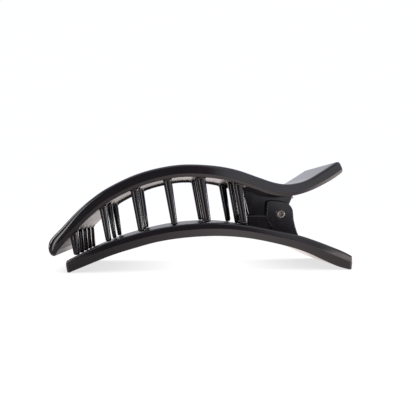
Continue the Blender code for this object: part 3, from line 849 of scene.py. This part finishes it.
def springTree():
    tree = bpy.data.node_groups.new("spring wire", "GeometryNodeTree")
    tree.interface.new_socket("Geometry", in_out="INPUT", socket_type="NodeSocketGeometry")
    tree.interface.new_socket("Wire Radius", in_out="INPUT", socket_type="NodeSocketFloat")
    tree.interface.new_socket("Material", in_out="INPUT", socket_type="NodeSocketMaterial")
    tree.interface.new_socket("Geometry", in_out="OUTPUT", socket_type="NodeSocketGeometry")
    given = addNode(tree, "NodeGroupInput").outputs
    path = addNode(tree, "GeometryNodeMeshToCurve", {}, {0: given["Geometry"]}).outputs[0]
    circle = addNode(tree, "GeometryNodeCurvePrimitiveCircle", {"Resolution": spring["wireSides"]}, {
        "Radius": given["Wire Radius"],
    })
    swept = addNode(tree, "GeometryNodeCurveToMesh", {"Fill Caps": True}, {
        "Curve": path, "Profile Curve": circle.outputs["Curve"],
    }).outputs[0]
    smooth = addNode(tree, "GeometryNodeSetShadeSmooth", {}, {"Geometry": swept}).outputs[0]
    real = addNode(tree, "GeometryNodeRealizeInstances", {}, {"Geometry": smooth}).outputs[0]
    dressed = addNode(tree, "GeometryNodeSetMaterial", {}, {
        "Geometry": real, "Material": given["Material"],
    }).outputs[0]
    addNode(tree, "NodeGroupOutput", {}, {0: dressed})
    return tree


def buildSpring():
    seat = spring["wire"] + spring["seat"]
    dx = spring["legX"] - hinge["pinX"]
    high = edgeHeight(upperSamples, spring["legX"], 2) - spring["upperSeats"] * seat - hinge["pinZ"]
    low = edgeHeight(lowerSamples, spring["legX"], 0) + spring["lowerSeats"] * seat - hinge["pinZ"]
    start = math.atan2(high, dx) + math.acos(spring["radius"] / math.hypot(dx, high))
    finish = math.atan2(low, dx) - math.acos(spring["radius"] / math.hypot(dx, low))
    finish += 2 * math.pi * (spring["turns"] + 1)
    count = spring["perTurn"] * spring["turns"]
    points = [(dx, -spring["halfLength"], high)]
    for k in range(count + 1):
        angle = start + (finish - start) * k / count
        y = spring["halfLength"] * (2 * k / count - 1)
        points.append((spring["radius"] * math.cos(angle), y, spring["radius"] * math.sin(angle)))
    points.append((dx, spring["halfLength"], low))
    mesh = bpy.data.meshes.new("springPath")
    places = [((hinge["pinX"] + x) * mm, y * mm, (hinge["pinZ"] + z) * mm) for x, y, z in points]
    mesh.from_pydata(places, [(k, k + 1) for k in range(len(points) - 1)], [])
    piece = addPiece("springPath", mesh)
    modifier = piece.modifiers.new("wire", "NODES")
    modifier.node_group = springTree()
    setInputs(modifier, {"Wire Radius": spring["wire"] * mm, "Material": wireSteel})
    bpy.context.view_layer.update()
    return bakeModifier(piece, "torsionSpring")


springPiece = buildSpring()
print("spring built:", len(springPiece.data.polygons), "faces")

# What moves with what, and which solid each piece stands for
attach(upperJaw, "upper")
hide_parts("upper_jaw")
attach(lowerJaw, "lower")
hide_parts("lower_jaw")
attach(pinPiece, "lower")
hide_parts("hinge_pin")
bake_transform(springPiece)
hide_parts("torsion_spring")

# Studio: a white table lit a little from below, in a soft surround that is dark behind the camera, light
# overhead and to the right, and plain white where the camera sees it, the table with a painted soft shadow
# near the clip. Metres
studio = {
    "floor": "#8f8c8b", "floorSize": 6.0, "frontEdge": 0.14, "floorRoughness": 0.9,
    "glow": "#fff2ee",
    "glowStops": [(-0.04, 0.25), (-0.018, 0.55), (0.015, 1.4), (0.055, 0.7), (0.1, 4.8)],   # x, strength
    "glowBehind": 0.85, "behindReach": (0.01, 0.05),
    "shadowReach": 0.014, "shadowSamples": 16, "shadowFrom": 0.1, "shadowTo": 0.8, "shadowLevel": 0.74,
    "behindCamera": 0.16, "belowHorizon": 0.55, "right": 1.25, "far": 0.7, "overhead": 1.2, "seen": 1.05,
    "tint": (0.95, 0.97, 1.05),
    # the next ones are parts of a view direction, between which the surround changes
    "frontEdges": (0.1, -0.6), "rightEdges": (0.205, 0.26), "highEdges": (0.4, 0.85),
    "horizonEdges": (0.04, -0.05), "slope": 1.2, "slopeTop": 0.1,
}


def buildFloor():
    half, front = studio["floorSize"] / 2, -studio["frontEdge"]
    mesh = bpy.data.meshes.new("floor")
    corners = [(-half, front, 0), (half, front, 0), (half, half, 0), (-half, half, 0)]
    mesh.from_pydata(corners, [], [(0, 1, 2, 3)])
    # back-lit opal acrylic, cast: an even matt white that throws light up under the clip
    material = bpy.data.materials.new("whiteAcrylicTable")
    material.use_nodes = True
    shader = material.node_tree.nodes["Principled BSDF"]
    shader.inputs["Base Color"].default_value = hexColour(studio["floor"])
    shader.inputs["Roughness"].default_value = studio["floorRoughness"]
    shader.inputs["Specular IOR Level"].default_value = 0.0
    shader.inputs["Emission Color"].default_value = hexColour(studio["glow"])
    tree = material.node_tree
    place = addNode(tree, "ShaderNodeTexCoord").outputs["Object"]
    spot = addNode(tree, "ShaderNodeSeparateXYZ", {}, {0: place}).outputs
    stops = studio["glowStops"]
    first, last, most = stops[0][0], stops[-1][0], stops[-1][1]
    share = addNode(tree, "ShaderNodeMapRange", {1: first, 2: last}, {0: spot["X"]}).outputs[0]
    ramp = addNode(tree, "ShaderNodeValToRGB", {}, {0: share})
    ramp.color_ramp.elements[0].color = (*[stops[0][1] / most] * 3, 1.0)
    for x, strength in stops[1:-1]:
        stop = ramp.color_ramp.elements.new((x - first) / (last - first))
        stop.color = (*[strength / most] * 3, 1.0)
    ahead = addNode(tree, "ShaderNodeMath", {"operation": "MULTIPLY", 1: most}, {
        0: ramp.outputs[0],
    }).outputs[0]
    first, last = studio["behindReach"]
    behind = addNode(tree, "ShaderNodeMapRange", {
        1: first, 2: last, 3: 0.0, 4: studio["glowBehind"],
    }, {0: spot["Y"]}).outputs[0]
    glow = addNode(tree, "ShaderNodeMath", {"operation": "MAXIMUM"}, {0: ahead, 1: behind}).outputs[0]
    tree.links.new(glow, shader.inputs["Emission Strength"])
    # the camera sees it as a plain white glow, with a painted soft shadow: ambient occlusion dims that
    # glow only where the clip is close
    openness = addNode(tree, "ShaderNodeAmbientOcclusion", {
        "samples": studio["shadowSamples"], "Distance": studio["shadowReach"],
    }).outputs["AO"]
    level = addNode(tree, "ShaderNodeMapRange", {
        1: studio["shadowFrom"], 2: studio["shadowTo"], 3: studio["shadowLevel"], 4: studio["seen"],
    }, {0: openness}).outputs[0]
    # painted shadow: for camera rays the floor is only an emission, its strength lowered by ambient
    # occlusion
    plain = addNode(tree, "ShaderNodeEmission", {}, {"Strength": level}).outputs[0]
    seen = addNode(tree, "ShaderNodeLightPath").outputs["Is Camera Ray"]
    both = addNode(tree, "ShaderNodeMixShader", {}, {0: seen, 1: shader.outputs[0], 2: plain}).outputs[0]
    tree.links.new(both, tree.nodes["Material Output"].inputs["Surface"])
    mesh.materials.append(material)
    floor = addPiece("floor", mesh)


def buildSurround():
    world = bpy.data.worlds.new("surround")
    bpy.context.scene.world = world
    world.use_nodes = True
    tree = world.node_tree
    place = addNode(tree, "ShaderNodeTexCoord").outputs["Generated"]
    way = addNode(tree, "ShaderNodeSeparateXYZ", {}, {0: place}).outputs
    edges = {   # where the surround changes, softly, and from and to what
        name: {"interpolation_type": "SMOOTHSTEP", 1: studio[name][0], 2: studio[name][1], 3: 0.0, 4: 1.0}
        for name in ("frontEdges", "rightEdges", "highEdges", "horizonEdges")
    }
    edges["horizonEdges"].update({3: 1.0, 4: studio["belowHorizon"]})
    front = addNode(tree, "ShaderNodeMapRange", edges["frontEdges"], {0: way["Y"]}).outputs[0]
    low = addNode(tree, "ShaderNodeMath", {
        "operation": "MINIMUM", 1: studio["slopeTop"],
    }, {0: way["Z"]}).outputs[0]
    slant = addNode(tree, "ShaderNodeMath", {
        "operation": "MULTIPLY_ADD", 1: studio["slope"],
    }, {0: low, 2: way["X"]}).outputs[0]
    right = addNode(tree, "ShaderNodeMapRange", edges["rightEdges"], {0: slant}).outputs[0]
    high = addNode(tree, "ShaderNodeMapRange", edges["highEdges"], {0: way["Z"]}).outputs[0]
    near = addNode(tree, "ShaderNodeMix", {2: studio["behindCamera"], 3: studio["right"]}, {
        0: right,
    }).outputs[0]
    below = addNode(tree, "ShaderNodeMapRange", edges["horizonEdges"], {0: way["Z"]}).outputs[0]
    dimmed = addNode(tree, "ShaderNodeMath", {"operation": "MULTIPLY"}, {0: near, 1: below}).outputs[0]
    level = addNode(tree, "ShaderNodeMix", {2: studio["far"]}, {0: front, 3: dimmed}).outputs[0]
    lit = addNode(tree, "ShaderNodeMix", {3: studio["overhead"]}, {0: high, 2: level}).outputs[0]
    seen = addNode(tree, "ShaderNodeLightPath").outputs["Is Camera Ray"]
    strength = addNode(tree, "ShaderNodeMix", {3: studio["seen"]}, {0: seen, 2: lit}).outputs[0]
    background = tree.nodes["Background"]
    background.inputs["Color"].default_value = (*studio["tint"], 1.0)
    tree.links.new(strength, background.inputs["Strength"])


def softbox(name, place, target, size, power):
    lamp = bpy.data.lights.new(name, "AREA")
    lamp.shape = "RECTANGLE"
    lamp.size, lamp.size_y = size
    lamp.energy = power
    box = bpy.data.objects.new(name, lamp)
    bpy.context.scene.collection.objects.link(box)
    box.location = place
    box.rotation_euler = (Vector(target) - Vector(place)).to_track_quat("-Z", "Y").to_euler()
    box.visible_camera = False


buildFloor()
buildSurround()
softboxes = {   # place, target, size and power
    "leftBox": ((-0.57, -0.15, 0.27), (-0.04, 0, 0.02), (0.2, 0.3), 1.6),
    "leftBack": ((-0.42, 0.5, 0.2), (-0.05, 0, 0.02), (0.22, 0.3), 0.4),
    "leftLow": ((-0.66, 0.0, 0.045), (-0.04, 0, 0.02), (0.3, 0.09), 0.34),
    "leftStrip": ((-0.344, -0.65, 0.088), (-0.05, -0.02, 0.012), (0.15, 0.35), 0.8),
    "rightLamp": ((0.6, -0.13, 0.08), (0.05, 0, 0.04), (0.09, 0.09), 0.7),
}
for boxName, boxSettings in softboxes.items():
    softbox(boxName, *boxSettings)

# The camera stands a little above the floor, level, 18 cm in front of the clip
view = {
    "lens": 38.94, "sensor": 36.0, "nearest": 0.005,
    "place": (-0.0124945, -0.183, 0.023137), "turn": (90.0, 0.0, -4.8),   # metres and degrees
}
camera = bpy.data.objects.new("camera", bpy.data.cameras.new("camera"))
bpy.context.scene.collection.objects.link(camera)
camera.data.lens = view["lens"]
camera.data.sensor_width = view["sensor"]
camera.data.clip_start = view["nearest"]
camera.location = view["place"]
camera.rotation_euler = [math.radians(angle) for angle in view["turn"]]
bpy.context.scene.camera = camera
bpy.context.scene.view_settings.view_transform = "Standard"
print("studio built")
